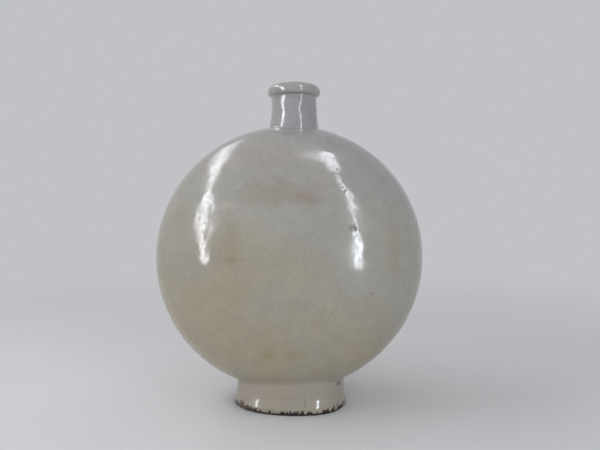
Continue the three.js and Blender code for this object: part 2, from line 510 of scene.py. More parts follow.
def neck_profile(sizes, body):
    """Section of neck and lip in (radius, height over the top of the body), as if the body were flat."""
    sink = 0.0004
    reach = 0.0022
    under_lip = 0.0014
    few = 4
    top = sizes.lip_top - body.top
    lip_foot = top - sizes.lip_height
    lip_belly = top - sizes.lip_drop
    crown = sizes.bore + sizes.mouth_round
    waist = sizes.neck_waist
    base = waist + sizes.neck_spread
    fillet = sizes.neck_fillet
    under_edge = waist + under_lip
    outline = straight((sizes.bore, -sink), (sizes.bore, top - sizes.mouth_round), WALL_STEPS)
    outline += arc((crown, top - sizes.mouth_round), (sizes.mouth_round, sizes.mouth_round), 180, 90)
    outline += curve(
        (crown, top),
        (crown + sizes.lip_fullness * (sizes.lip_radius - crown), top),
        (sizes.lip_radius, lip_belly + sizes.lip_fullness * sizes.lip_drop),
        (sizes.lip_radius, lip_belly),
        2 * ARC_STEPS,
    )
    outline += curve(
        (sizes.lip_radius, lip_belly),
        (sizes.lip_radius, lip_belly - sizes.lip_roll * (lip_belly - lip_foot)),
        (under_edge + sizes.lip_roll * (sizes.lip_radius - under_edge), lip_foot),
        (under_edge, lip_foot),
        2 * ARC_STEPS,
    )
    outline += arc((under_edge, lip_foot - under_lip), (under_lip, under_lip), 90, 180)
    stem = lip_foot - under_lip
    spread_middle = base - sizes.neck_spread / 2
    outline += curve(
        (waist, stem), (waist, stem / 2), (spread_middle, stem / 4), (base, fillet), WALL_STEPS
    )
    outline += arc((base + fillet, fillet), (fillet, fillet), 180, 270)
    outline += tail((base + fillet, 0.0), reach, sink)
    outline += straight((base + fillet + reach, -sink), (sizes.bore, -sink), few)
    return without_repeats(outline)[:-1]


def neck_swell(point, turn):
    """How far the neck's wall stands out of the true round at a point."""
    marks = NECK_MARKS
    oval = marks.oval * math.cos(2.0 * (turn - marks.oval_turn))
    uneven = wobble(marks.sway, point, marks.sway_pitch) + wobble(marks.ripple, point, marks.ripple_pitch)
    drift = wobble(marks.ring_sway, point, marks.ring_drift)
    ring = marks.ring * math.sin(math.tau * point.z / marks.ring_spacing + drift)
    return oval + uneven + ring


def glazed_neck(name, sizes):
    """Neck with its rolled lip, its lower end running out over the curve of the body."""
    body = BodyForm(sizes)
    drape_end = 0.012
    axis = Vector((sizes.neck_x, 0.0, 0.0))
    section = neck_profile(sizes, body)
    profile = [axis + Vector((radius, 0.0, body.top + height)) for radius, height in section]
    form = turned(profile, axis, (0.0, 0.0, 1.0), NECK_TURNS, closed=True)
    for vert in form.verts:
        arm = vert.co - axis
        turn = math.atan2(arm.y, arm.x)
        drape = 1.0 - smooth_step(vert.co.z - body.top, sizes.neck_fillet, drape_end)
        up_the_lip = vert.co.z - sizes.lip_top + sizes.lip_height
        calm = NECK_MARKS.lip_calm * smooth_step(up_the_lip, 0.0, sizes.lip_drop / 2)
        swell = (1.0 - drape) * (1.0 - calm) * neck_swell(vert.co, turn)
        vert.co.x += swell * math.cos(turn)
        vert.co.y += swell * math.sin(turn)
        if drape > 0.0:
            vert.co.z += drape * (body.height(vert.co.x, vert.co.y, 1) - body.top)
    return object_of(name, form)


def stretch(turn, middle, spread):
    """1 in the middle of a stretch of the foot's rim, falling away to both sides of it."""
    gap = ((turn - middle + math.pi) % math.tau - math.pi) / spread
    return math.exp(-gap * gap)


def worn(turn):
    """How worn the foot's rim is, 1 in the middle of each worn stretch."""
    return sum(stretch(turn, place, FOOT_MARKS.worn_spread) for place in FOOT_MARKS.worn_turns)


def rubbed(turn):
    """How far the glaze is rubbed away where the rim is worn to a slant, 1 in the middle."""
    return stretch(turn, FOOT_MARKS.rubbed_turn, FOOT_MARKS.rubbed_spread)


def worn_slant(sizes, radius, side, front, height):
    """How far the wear at the left of the foot's front sets its outer bottom edge back."""
    low = max(1.0 - height / sizes.foot_slant_top, 0.0)
    in_front = smooth_step(front, *FOOT_MARKS.slant_fade)
    through_wall = (radius - sizes.foot_waist + sizes.foot_wall) / sizes.foot_wall
    run = (math.hypot(side, sizes.foot_slant_round) - side) / 2
    return sizes.foot_slant * run * low * in_front * min(max(through_wall, 0.0), 1.0)


@lru_cache(maxsize=None)
def rim_bites():
    """Places where grit bit into the edge of the glaze, as (turn, half width, rise)."""
    draw = random.Random(FOOT_MARKS.bite_seed)
    bites = []
    for _ in range(FOOT_MARKS.bites):
        turn = draw.uniform(-math.pi, math.pi)
        rise = draw.uniform(*FOOT_MARKS.bite_rise) * (1.0 + FOOT_MARKS.worn_gain * worn(turn))
        bites.append((turn, draw.uniform(*FOOT_MARKS.bite_width), rise))
    return bites


@lru_cache(maxsize=None)
def glaze_edge(turn):
    """Height above the table at which the glaze stops."""
    marks = FOOT_MARKS
    round_foot = Vector((math.cos(turn), math.sin(turn), 0.0))
    low = marks.edge + wobble(marks.edge_drift, round_foot, marks.drift_pitch) + marks.rubbed * rubbed(turn)
    highest = low
    for place, half_width, rise in rim_bites():
        gap = abs((turn - place + math.pi) % math.tau - math.pi) / half_width
        if gap < 1.0:
            highest = max(highest, low + rise * math.sqrt(1.0 - gap * gap))
    return highest


def foot_profile(sizes):
    """Section of the foot ring in (half width, height), as if the belly were flat."""
    sink = 0.0004
    reach = 0.0020
    few = 6
    inner = sizes.foot_waist - sizes.foot_wall
    joint = sizes.foot_joint
    edge = sizes.foot_round
    rise = sizes.foot_round_rise
    waist = sizes.foot_waist
    fillet = sizes.foot_fillet
    outline = straight((inner, joint + sink), (inner, edge), 2 * few)
    outline += arc((inner + edge, edge), (edge, edge), 180, 270, few)
    outline += straight((inner + edge, 0.0), (waist - edge, 0.0), few)
    outline += arc((waist - edge, rise), (edge, rise), -90, 0, 3 * few)
    outline += straight((waist, rise), (waist, joint - fillet), FLARE_STEPS)
    rim = arc((waist + fillet, joint + fillet), (fillet, fillet), 180, 270, few)
    rim += tail((waist + fillet, joint), reach, sink)
    outline += [(radius, 2.0 * joint - height) for radius, height in rim]
    outline += straight((waist + fillet + reach, joint + sink), (inner, joint + sink), few)
    return without_repeats(outline)[:-1]


def foot_place(sizes, radius, turn, height):
    """The point of the oval, slightly leaning foot at a half width, a turn and a height."""
    lean = sizes.foot_lean * smooth_step(height, 0.0, sizes.foot_joint)
    hollow = max(1.0 - height / sizes.foot_flare_height, 0.0) ** 2
    toe = smooth_step(height, sizes.foot_toe_top, sizes.foot_toe_foot)
    power = sizes.foot_squareness
    reach = (abs(math.cos(turn)) ** power + abs(math.sin(turn)) ** power) ** (-1.0 / power)
    side = reach * math.cos(turn) * (radius + sizes.foot_side_flare * hollow)
    front = reach * math.sin(turn) * (radius - sizes.foot_narrowing + sizes.foot_front_flare * toe)
    front += worn_slant(sizes, radius, side, front, height)
    askew = Matrix.Rotation(sizes.foot_turn, 3, "Z")
    return askew @ Vector((side, front, height)) + Vector((lean, -sizes.foot_forward, 0.0))


def glazed_foot(name, sizes):
    """Oval foot ring with its ragged glaze edge and bare rim, its upper end running out over the belly."""
    marks = FOOT_MARKS
    body = BodyForm(sizes)
    joint = sizes.foot_joint
    middle = sizes.foot_waist - sizes.foot_wall / 2
    profile = [Vector((radius, 0.0, height)) for radius, height in foot_profile(sizes)]
    form = turned(profile, (0.0, 0.0, 0.0), (0.0, 0.0, 1.0), FOOT_TURNS, closed=True)
    bare_layer = form.verts.layers.float.new("bare_clay")
    pool_layer = form.verts.layers.float.new("pooled_glaze")
    rubbed_layer = form.verts.layers.float.new("rubbed_clay")
    for vert in form.verts:
        turn = math.atan2(vert.co.y, vert.co.x)
        radius = math.hypot(vert.co.x, vert.co.y)
        height = vert.co.z
        above_edge = height - glaze_edge(round(turn, 4))
        bare = smooth_step(above_edge, marks.edge_softness, -marks.edge_softness)
        outward = 1.0 if radius > middle else -1.0
        crumble = wobble(marks.crumble, vert.co, marks.crumble_pitch) * bare
        radius += outward * (crumble - sizes.glaze_thickness * bare)
        radius += wobble(marks.sway, vert.co, marks.sway_pitch)
        vert[bare_layer] = bare
        vert[rubbed_layer] = rubbed(turn) * smooth_step(-above_edge, *marks.burnt_edge)
        vert[pool_layer] = math.exp(-(((height - joint + sizes.foot_fillet / 2) / marks.pool_height) ** 2))
        vert.co = foot_place(sizes, radius, turn, height)
        drape = smooth_step(height, sizes.foot_flare_height, joint - sizes.foot_fillet)
        if drape > 0.0:
            vert.co.z += drape * (body.height(vert.co.x, vert.co.y, -1) - joint)
        if height < WELD:
            vert.co.z += marks.tread + wobble(marks.tread, vert.co, marks.tread_pitch)
    return object_of(name, form)


def kiln_grit(name, sizes):
    """Grains of sand from the kiln shelf, stuck along the bare rim of the foot."""
    marks = GRIT_MARKS
    wall = sizes.foot_waist - sizes.glaze_thickness
    draw = random.Random(marks.seed)
    form = bmesh.new()
    for _ in range(marks.grains):
        turn = draw.uniform(-math.pi, math.pi)
        height = draw.uniform(marks.margin, glaze_edge(round(turn, 4)) + marks.margin)
        grain = draw.uniform(*marks.size)
        place = foot_place(sizes, wall, turn, max(height, grain))
        spin = Matrix.Rotation(draw.uniform(0.0, math.tau), 4, Vector((draw.random(), draw.random(), 1.0)))
        shape = Matrix.Diagonal((1.0, draw.uniform(*marks.breadth), draw.uniform(*marks.flatness), 1.0))
        bmesh.ops.create_icosphere(
            form, subdivisions=1, radius=grain, matrix=Matrix.Translation(place) @ spin @ shape
        )
    return object_of(name, form)


# Node layout, and the sockets of a colour mix
NODE_COLUMNS = 8
NODE_WIDTH = 220.0
NODE_HEIGHT = 260.0
MIX_SHARE = 0
MIX_UNDER = 6
MIX_OVER = 7
MIX_RESULT = 2


def join(tree, socket, value):
    """Links a socket to another one, or sets its value."""
    if isinstance(value, bpy.types.NodeSocket):
        tree.links.new(value, socket)
    else:
        socket.default_value = value


def feed(tree, node, feeds):
    """Links or sets several sockets of a node."""
    for socket, value in feeds.items():
        join(tree, node.inputs[socket], value)


def add_node(tree, kind, feeds, **settings):
    """Adds a node with its settings and feeds its sockets."""
    made = tree.nodes.new(kind)
    row, column = divmod(len(tree.nodes), NODE_COLUMNS)
    made.location = (NODE_WIDTH * column, -NODE_HEIGHT * row)
    for name, value in settings.items():
        setattr(made, name, value)
    feed(tree, made, feeds)
    return made


def maths(tree, operation, *values):
    """A sum, product or other operation on numbers."""
    return add_node(tree, "ShaderNodeMath", dict(enumerate(values)), operation=operation).outputs[0]


def vectors(tree, operation, *values):
    """A sum, product or other operation on vectors, or the length of one."""
    outputs = add_node(tree, "ShaderNodeVectorMath", dict(enumerate(values)), operation=operation).outputs
    return outputs["Value" if operation == "LENGTH" else "Vector"]


def layer(tree, name):
    """What the mesh holds under a name for each of its points."""
    return add_node(tree, "ShaderNodeAttribute", {}, attribute_name=name).outputs["Fac"]


def cloud(tree, place, scale, detail):
    """A noise pattern, 0 to 1, with so many blotches in a metre."""
    feeds = {"Vector": place, "Scale": scale, "Detail": detail}
    return add_node(tree, "ShaderNodeTexNoise", feeds).outputs[0]


def ramp(tree, value, low, high, low_out=0.0, high_out=1.0):
    """An S curve from one value to another."""
    feeds = {"Value": value, "From Min": low, "From Max": high, "To Min": low_out, "To Max": high_out}
    return add_node(tree, "ShaderNodeMapRange", feeds, interpolation_type="SMOOTHSTEP").outputs[0]


def blended(tree, share, under, over):
    """One colour over another, by a share."""
    feeds = {MIX_SHARE: share, MIX_UNDER: under, MIX_OVER: over}
    return add_node(tree, "ShaderNodeMix", feeds, data_type="RGBA").outputs[MIX_RESULT]


def brightened(tree, shade, gain):
    """A colour made lighter or darker by a factor."""
    return add_node(tree, "ShaderNodeHueSaturation", {"Color": shade, "Value": gain}).outputs[0]


def opaque(colour_value):
    """A property's colour as a shader takes it."""
    return (*colour_value, 1.0)


def new_group(name, inputs, outputs):
    """An empty node group with named sockets; gives back the tree, what comes in and what goes out."""
    tree = bpy.data.node_groups.new(name, "ShaderNodeTree")
    for side, sockets in (("INPUT", inputs), ("OUTPUT", outputs)):
        for label, kind in sockets.items():
            tree.interface.new_socket(name=label, in_out=side, socket_type="NodeSocket" + kind)
    entry = tree.nodes.new("NodeGroupInput")
    result = tree.nodes.new("NodeGroupOutput")
    return tree, entry.outputs, result.inputs


def use_group(tree, group, feeds):
    """Places a group in a material with its own values."""
    return add_node(tree, "ShaderNodeGroup", feeds, node_tree=group).outputs


@dataclass(frozen=True)
class GlazeClouds:
    """Slow drifts of colour in the glaze, and where a bluish reflection is painted on the neck and
    shoulder, with places in metres.

    A cloud is its blotches to a metre and its detail. A ramp is where it starts, where it ends and, unless
    they are 0 and 1, its values there.
    """

    colours: tuple = ("cream", "straw", "ash", "blush", "cool_sheen")
    centre: tuple = (0.0, 0.0, 0.1096)
    face: tuple = (1.0, 0.0, 1.0)
    drift_cloud: tuple = (11.0, 2.0)
    drift: float = 0.14
    lean: float = 0.42
    straw: tuple = (0.150, 0.040, 0.0, 0.95)
    off_belly: tuple = (0.018, 0.042, 0.70, 1.0)
    rim: tuple = (0.060, 0.095, 0.0, 0.32)
    below_shoulder: tuple = (0.200, 0.185)
    below_lip: tuple = (0.232, 0.226)
    blush: tuple = (0.135, 0.200, 0.0, 0.8)
    # Where the bluish reflection is painted: up the neck, right of its middle, and on the shoulder beside
    # it.
    up_neck: tuple = (0.189, 0.212)
    lip_share: tuple = (0.0, 1.0, 0.45, 1.0)
    to_the_right: tuple = (-0.014, 0.004, 0.10, 1.0)
    shoulder_lean: float = 0.8
    shoulder: tuple = (0.190, 0.240, 0.0, 0.6)
    ash_cloud: tuple = (24.0, 3.0)
    ash: tuple = (0.46, 0.72, 0.0, 0.5)
    coarse_cloud: tuple = (90.0, 4.0)
    coarse: tuple = (0.30, 0.70, 0.955, 1.04)
    fine_cloud: tuple = (420.0, 2.0)
    fine: tuple = (0.30, 0.70, 0.965, 1.03)


@dataclass(frozen=True)
class GlazeSkin:
    """The faint orange-peel of a fired glaze, with clouds and ramps as in the clouded glaze."""

    wave_cloud: tuple = (130.0, 2.0)
    peel_cloud: tuple = (340.0, 1.0)
    peel: float = 0.4
    dull_cloud: tuple = (55.0, 4.0)
    dull: tuple = (0.35, 0.75)
    gloss_cloud: tuple = (380.0, 4.0)
    gloss: tuple = (0.36, 0.62, 0.15, 0.9)
    smoothest: float = -0.04
    roughest: float = 0.06
    coat_roughness: float = 0.06
    bump: float = 0.35
    bump_depth: float = 0.00016


GLAZE_CLOUDS = GlazeClouds()
GLAZE_SKIN = GlazeSkin()
STAIN_EDGE = (1.0, 0.25)
STAIN_DETAIL = 4.0
MIDDLE_OF_CLOUD = 0.5
SPECK_EDGE = (1.0, 0.4)


def clouded_glaze_group():
    """Drifts of colour in an old glaze: warm below and to the left, pinkish above, and a bluish reflection
    painted on the neck and the shoulder beside it.
    """
    clouds = GLAZE_CLOUDS
    colours = {name.title(): "Color" for name in clouds.colours}
    tree, entry, result = new_group("Clouded glaze", {"Place": "Vector", **colours}, {"Colour": "Color"})
    place = entry["Place"]
    parts = add_node(tree, "ShaderNodeSeparateXYZ", {"Vector": place}).outputs
    drifting = cloud(tree, place, *clouds.drift_cloud)
    drift = maths(tree, "MULTIPLY_ADD", drifting, clouds.drift, -clouds.drift / 2)
    level = maths(tree, "ADD", maths(tree, "MULTIPLY_ADD", parts["X"], clouds.lean, parts["Z"]), drift)
    off_belly = ramp(tree, parts["Z"], *clouds.off_belly)
    low = maths(tree, "MULTIPLY", ramp(tree, level, *clouds.straw), off_belly)
    flat_arm = vectors(tree, "MULTIPLY", vectors(tree, "SUBTRACT", place, clouds.centre), clouds.face)
    rim = ramp(tree, vectors(tree, "LENGTH", flat_arm), *clouds.rim)
    rim = maths(tree, "MULTIPLY", rim, ramp(tree, parts["Z"], *clouds.below_shoulder))
    low = maths(tree, "ADD", low, rim)
    below_lip = ramp(tree, parts["Z"], *clouds.below_lip)
    high = maths(tree, "MULTIPLY", ramp(tree, level, *clouds.blush), below_lip)
    lip_share = ramp(tree, below_lip, *clouds.lip_share)
    # Painted reflection: the neck and the shoulder beside it take a bluish sheen in their colour.
    beside_neck = maths(tree, "MULTIPLY", lip_share, ramp(tree, parts["X"], *clouds.to_the_right))
    on_neck = maths(tree, "MULTIPLY", ramp(tree, parts["Z"], *clouds.up_neck), beside_neck)
    up_shoulder = maths(tree, "MULTIPLY_ADD", parts["X"], clouds.shoulder_lean, parts["Z"])
    shoulder = maths(tree, "MULTIPLY", ramp(tree, up_shoulder, *clouds.shoulder), lip_share)
    sheen_share = maths(tree, "MAXIMUM", on_neck, shoulder)
    grey = ramp(tree, cloud(tree, place, *clouds.ash_cloud), *clouds.ash)
    shade = entry["Cream"]
    for share, name in ((low, "Straw"), (high, "Blush"), (grey, "Ash"), (sheen_share, "Cool_Sheen")):
        shade = blended(tree, share, shade, entry[name])
    coarse = ramp(tree, cloud(tree, place, *clouds.coarse_cloud), *clouds.coarse)
    fine = ramp(tree, cloud(tree, place, *clouds.fine_cloud), *clouds.fine)
    join(tree, result["Colour"], brightened(tree, shade, maths(tree, "MULTIPLY", coarse, fine)))
    return tree


def stain_group():
    """A soft, ragged spot round a place on the surface."""
    spot = dict.fromkeys(("Place", "Centre", "Reach"), "Vector")
    edge = dict.fromkeys(("Raggedness", "Grain"), "Float")
    tree, entry, result = new_group("Stain", {**spot, **edge}, {"Mask": "Float"})
    away = vectors(tree, "SUBTRACT", entry["Place"], entry["Centre"])
    distance = vectors(tree, "LENGTH", vectors(tree, "DIVIDE", away, entry["Reach"]))
    blotches = cloud(tree, entry["Place"], entry["Grain"], STAIN_DETAIL)
    uneven = maths(tree, "SUBTRACT", blotches, MIDDLE_OF_CLOUD)
    ragged = maths(tree, "MULTIPLY_ADD", uneven, entry["Raggedness"], distance)
    join(tree, result["Mask"], ramp(tree, ragged, *STAIN_EDGE))
    return tree


def specks_group():
    """Small round specks, some cells of a pattern having one and the others none."""
    inputs = {"Place": "Vector", "Cells": "Float", "Size": "Float", "Share": "Float"}
    tree, entry, result = new_group("Specks", inputs, {"Mask": "Float"})
    cells = add_node(tree, "ShaderNodeTexVoronoi", {"Vector": entry["Place"], "Scale": entry["Cells"]})
    pick = add_node(tree, "ShaderNodeSeparateColor", {"Color": cells.outputs["Color"]}).outputs[0]
    chosen = maths(tree, "LESS_THAN", pick, entry["Share"])
    spot = ramp(tree, maths(tree, "DIVIDE", cells.outputs["Distance"], entry["Size"]), *SPECK_EDGE)
    join(tree, result["Mask"], maths(tree, "MULTIPLY", spot, chosen))
    return tree


def glaze_skin_group():
    """The skin of the glaze as a height, a change of roughness and a share of clear gloss."""
    skin = GLAZE_SKIN
    outputs = {"Height": "Float", "Dullness": "Float", "Gloss": "Float"}
    tree, entry, result = new_group("Glaze skin", {"Place": "Vector"}, outputs)
    place = entry["Place"]
    wave = cloud(tree, place, *skin.wave_cloud)
    peel = cloud(tree, place, *skin.peel_cloud)
    join(tree, result["Height"], maths(tree, "MULTIPLY_ADD", peel, skin.peel, wave))
    join(tree, result["Dullness"], ramp(tree, cloud(tree, place, *skin.dull_cloud), *skin.dull))
    join(tree, result["Gloss"], ramp(tree, cloud(tree, place, *skin.gloss_cloud), *skin.gloss))
    return tree


@dataclass
class Groups:
    """The shared node groups, made once."""

    clouded: bpy.types.NodeTree
    stain: bpy.types.NodeTree
    specks: bpy.types.NodeTree
    skin: bpy.types.NodeTree


def shared_groups():
    """The node groups, made on first use."""
    makers = {
        "Clouded glaze": clouded_glaze_group,
        "Stain": stain_group,
        "Specks": specks_group,
        "Glaze skin": glaze_skin_group,
    }
    found = [bpy.data.node_groups.get(name) or make() for name, make in makers.items()]
    return Groups(*found)


def new_material(name):
    """A material with nothing but its Principled shader; gives back the tree, the shader and the place."""
    material = bpy.data.materials.new(name)
    material.use_nodes = True
    tree = material.node_tree
    shader = tree.nodes["Principled BSDF"]
    place = tree.nodes.new("ShaderNodeTexCoord").outputs["Object"]
    return material, tree, shader, place


@dataclass
class Stain:
    """A mark in the glaze: its middle, how far it reaches along X, Y and Z, and how strong it is."""

    centre: tuple
    reach: tuple
    strength: float
    raggedness: float = 0.9
    grain: float = 180.0


TEA_STAINS_AND_SHADE = (
    Stain((-0.0368, -0.0557, 0.1146), (0.0080, 0.02, 0.0036), 0.42, 2.0, 200.0),
    Stain((-0.0147, -0.0491, 0.0484), (0.0100, 0.02, 0.0060), 0.48, 1.6, 130.0),
    Stain((0.0060, -0.0495, 0.0478), (0.0150, 0.02, 0.0046), 0.36, 1.9, 110.0),
    # Painted shade: a faint darker band down the right edge of the front face.
    Stain((0.0716, -0.0448, 0.1202), (0.0060, 0.03, 0.0340), 0.16, 1.2, 60.0),
    Stain((-0.0400, -0.0540, 0.1250), (0.0150, 0.03, 0.0240), 0.22, 2.0, 70.0),
    Stain((-0.0420, -0.0540, 0.0920), (0.0240, 0.03, 0.0140), 0.12, 2.0, 55.0),
    Stain((0.0250, 0.0540, 0.1250), (0.0300, 0.02, 0.0120), 0.20, 1.8, 60.0),
    Stain((-0.0300, 0.0500, 0.0560), (0.0130, 0.02, 0.0060), 0.30, 1.8, 120.0),
)
UMBER_STAINS = (
    Stain((-0.0065, -0.0530, 0.1600), (0.0460, 0.02, 0.0130), 0.30, 1.7, 60.0),
    Stain((0.0140, -0.0525, 0.1555), (0.0120, 0.02, 0.0060), 0.32, 1.6, 110.0),
    Stain((-0.0100, -0.0480, 0.1800), (0.0220, 0.02, 0.0080), 0.14, 1.8, 80.0),
    Stain((-0.0200, 0.0520, 0.1560), (0.0300, 0.02, 0.0080), 0.20, 1.8, 70.0),
)
BLOOM_STAINS = (
    Stain((-0.0412, -0.0508, 0.1505), (0.0082, 0.02, 0.0042), 0.70, 1.9, 200.0),
)
FOOT_CRACK = Stain((0.0115, -0.0348, 0.0094), (0.0004, 0.008, 0.0062), 0.80, 0.4, 500.0)
FOOT_SPOTS = (
    Stain((0.0364, -0.0228, 0.0198), (0.0032, 0.008, 0.0022), 0.95, 0.6, 500.0),
    Stain((-0.0007, -0.0342, 0.0090), (0.0150, 0.012, 0.0060), 0.14, 1.8, 120.0),
)
CHIP_DASHES = (
    Stain((0.0418, -0.0530, 0.1357), (0.0014, 0.01, 0.0032), 0.85, 0.7, 700.0),
    Stain((0.0442, -0.0526, 0.1367), (0.0013, 0.01, 0.0020), 0.92, 0.7, 700.0),
    Stain((0.0454, -0.0526, 0.1350), (0.0014, 0.01, 0.0022), 0.92, 0.7, 700.0),
    Stain((0.0476, -0.0520, 0.1345), (0.0007, 0.01, 0.0012), 0.85, 0.7, 700.0),
    Stain((0.0436, -0.0528, 0.1356), (0.0042, 0.01, 0.0036), 0.40, 0.7, 500.0),
)
IRON_SPOTS = (
    Stain((0.0572, -0.0501, 0.0910), (0.0013, 0.01, 0.0017), 0.40, 0.7, 500.0),
    Stain((0.0297, -0.0545, 0.0782), (0.0011, 0.01, 0.0013), 0.30, 0.7, 500.0),
    Stain((0.0175, -0.0567, 0.1328), (0.0008, 0.01, 0.0010), 0.30, 0.7, 700.0),
    Stain((0.0747, -0.0435, 0.1139), (0.0008, 0.01, 0.0011), 0.30, 0.7, 700.0),
    Stain((0.0226, -0.0538, 0.1513), (0.0008, 0.01, 0.0010), 0.30, 0.7, 700.0),
)
GLAZE_STAINS = {"tea_and_shade": TEA_STAINS_AND_SHADE, "umber": UMBER_STAINS, "bloom": BLOOM_STAINS, "iron": IRON_SPOTS}


@dataclass(frozen=True)
class Specks:
    """Specks in a surface: cells to a metre, size in a cell, share of cells that have one, and strength."""

    cells: float
    size: float
    share: float
    strength: float = 1.0


IRON_SPECKS = (Specks(260.0, 0.11, 0.32, 0.50), Specks(105.0, 0.060, 0.40, 0.65))
SCORCHED_SAND = Specks(900.0, 0.6, 0.5)


def pit_trail():
    """Small pits in the glaze, scattered down the right of the front face."""
    pits = 16
    seed = 11
    scatter = 0.0024
    sizes = (0.0004, 0.0011)
    strengths = (0.6, 0.95)
    through = 0.01
    raggedness = 0.6
    grain = 900.0
    start = Vector((0.0324, -0.0445, 0.1760))
    end = Vector((0.0390, -0.0492, 0.1585))
    draw = random.Random(seed)
    trail = []
    for pit in range(pits):
        place = start.lerp(end, (pit + draw.random()) / pits)
        place.x += draw.uniform(-scatter, scatter)
        size = draw.uniform(*sizes)
        strength = draw.uniform(*strengths)
        trail.append(Stain(tuple(place), (size, through, size), strength, raggedness, grain))
    return trail


def stain_mask(tree, group, place, stain):
    """How much of a stain shows at each place."""
    feeds = {
        "Place": place,
        "Centre": stain.centre,
        "Reach": stain.reach,
        "Raggedness": stain.raggedness,
        "Grain": stain.grain,
    }
    return maths(tree, "MULTIPLY", use_group(tree, group, feeds)["Mask"], stain.strength)


def stained(tree, group, place, under, stains, over):
    """A colour with each of the stains laid over it."""
    for stain in stains:
        under = blended(tree, stain_mask(tree, group, place, stain), under, opaque(over))
    return under


def speck_mask(tree, group, place, specks):
    """Where specks of one kind show, and how strongly."""
    feeds = {"Place": place, "Cells": specks.cells, "Size": specks.size, "Share": specks.share}
    return maths(tree, "MULTIPLY", use_group(tree, group, feeds)["Mask"], specks.strength)


def specked(tree, group, place, under, finish):
    """A colour with fine iron specks, and a few larger ones, in it."""
    for specks in IRON_SPECKS:
        under = blended(tree, speck_mask(tree, group, place, specks), under, opaque(finish.iron))
    return under


def pitted(tree, group, place):
    """Where the glaze is pitted or chipped."""
    deepest = 0.0
    for stain in (*pit_trail(), *CHIP_DASHES):
        deepest = maths(tree, "MAXIMUM", stain_mask(tree, group, place, stain), deepest)
    return deepest


def glaze_colour(tree, groups, place, finish):
    """The clouded glaze of the body and neck, with its painted bluish reflection."""
    feeds = {name.title(): opaque(getattr(finish, name)) for name in GLAZE_CLOUDS.colours}
    return use_group(tree, groups.clouded, {"Place": place, **feeds})["Colour"]


def glaze_surface(tree, groups, place, finish):
    """Roughness, height and clear gloss of the glaze's skin."""
    skin = use_group(tree, groups.skin, {"Place": place})
    smoothest = finish.roughness + GLAZE_SKIN.smoothest
    roughest = finish.roughness + GLAZE_SKIN.roughest
    rough = ramp(tree, skin["Dullness"], 0.0, 1.0, smoothest, roughest)
    return rough, skin["Height"], skin["Gloss"]


def coated(tree, shader, shade, rough, gloss, height):
    """Gives a shader the colour, the roughness, the clear coat and the uneven skin of a glaze."""
    feeds = {"Strength": GLAZE_SKIN.bump, "Distance": GLAZE_SKIN.bump_depth, "Height": height}
    feed(tree, shader, {
        "Base Color": shade,
        "Roughness": rough,
        "Coat Weight": gloss,
        "Coat Roughness": GLAZE_SKIN.coat_roughness,
        "Normal": add_node(tree, "ShaderNodeBump", feeds).outputs[0],
    })


def white_glaze(finish):
    """Old white glaze on the body, neck and seam, with a bluish reflection and a shade at the right edge
    painted into its colour.
    """
    known = bpy.data.materials.get("white_glaze_clouded")
    if known:
        return known
    groups = shared_groups()
    material, tree, shader, place = new_material("white_glaze_clouded")
    shade = glaze_colour(tree, groups, place, finish)
    for name, stains in GLAZE_STAINS.items():
        shade = stained(tree, groups.stain, place, shade, stains, getattr(finish, name))
    shade = specked(tree, groups.specks, place, shade, finish)
    pits = pitted(tree, groups.stain, place)
    shade = blended(tree, pits, shade, opaque(finish.chipped))
    rough, height, gloss = glaze_surface(tree, groups, place, finish)
    rough = maths(tree, "MAXIMUM", rough, pits)
    coated(tree, shader, shade, rough, ramp(tree, pits, 0.0, 1.0, gloss, 0.0), height)
    return material


@dataclass(frozen=True)
class FootLooks:
    """How the foot's glaze and clay look, with clouds and ramps as in the clouded glaze."""

    tint: float = 0.65
    pooling: float = 0.20
    burnt_cloud: tuple = (260.0, 3.0)
    burnt: tuple = (0.54, 0.74)
    rubbed_cloud: tuple = (420.0, 3.0)
    rubbed: tuple = (0.34, 0.52)
    crumb_cloud: tuple = (1500.0, 3.0)
    crumbs: float = 1.5
    bare_roughness: float = 0.85


FOOT_LOOKS = FootLooks()


def foot_clay(tree, place, finish):
    """Bare clay of the rim: burnt nearly black, red-brown in blotches, and paler where it is rubbed."""
    burnt = ramp(tree, cloud(tree, place, *FOOT_LOOKS.burnt_cloud), *FOOT_LOOKS.burnt)
    clay = blended(tree, burnt, opaque(finish.scorched), opaque(finish.rust))
    patches = ramp(tree, cloud(tree, place, *FOOT_LOOKS.rubbed_cloud), *FOOT_LOOKS.rubbed)
    clean = maths(tree, "MULTIPLY", layer(tree, "rubbed_clay"), patches)
    return blended(tree, clean, clay, opaque(finish.grit))


def foot_finish(finish):
    """Pinkish glaze of the foot, olive where it pools, and the scorched clay of its bare rim."""
    groups = shared_groups()
    material, tree, shader, place = new_material("foot_glaze_ragged")
    bare = layer(tree, "bare_clay")
    pool = maths(tree, "MULTIPLY", layer(tree, "pooled_glaze"), FOOT_LOOKS.pooling)
    shade = glaze_colour(tree, groups, place, finish)
    shade = blended(tree, FOOT_LOOKS.tint, shade, opaque(finish.foot_glaze))
    shade = blended(tree, pool, shade, opaque(finish.pooled))
    shade = stained(tree, groups.stain, place, shade, FOOT_SPOTS, finish.pooled)
    shade = stained(tree, groups.stain, place, shade, (FOOT_CRACK,), finish.iron)
    shade = specked(tree, groups.specks, place, shade, finish)
    shade = blended(tree, bare, shade, foot_clay(tree, place, finish))
    rough, height, gloss = glaze_surface(tree, groups, place, finish)
    rough = ramp(tree, bare, 0.0, 1.0, rough, FOOT_LOOKS.bare_roughness)
    crumbs = maths(tree, "MULTIPLY", cloud(tree, place, *FOOT_LOOKS.crumb_cloud), bare)
    height = maths(tree, "MULTIPLY_ADD", crumbs, FOOT_LOOKS.crumbs, height)
    coated(tree, shader, shade, rough, ramp(tree, bare, 0.0, 1.0, gloss, 0.0), height)
    return material


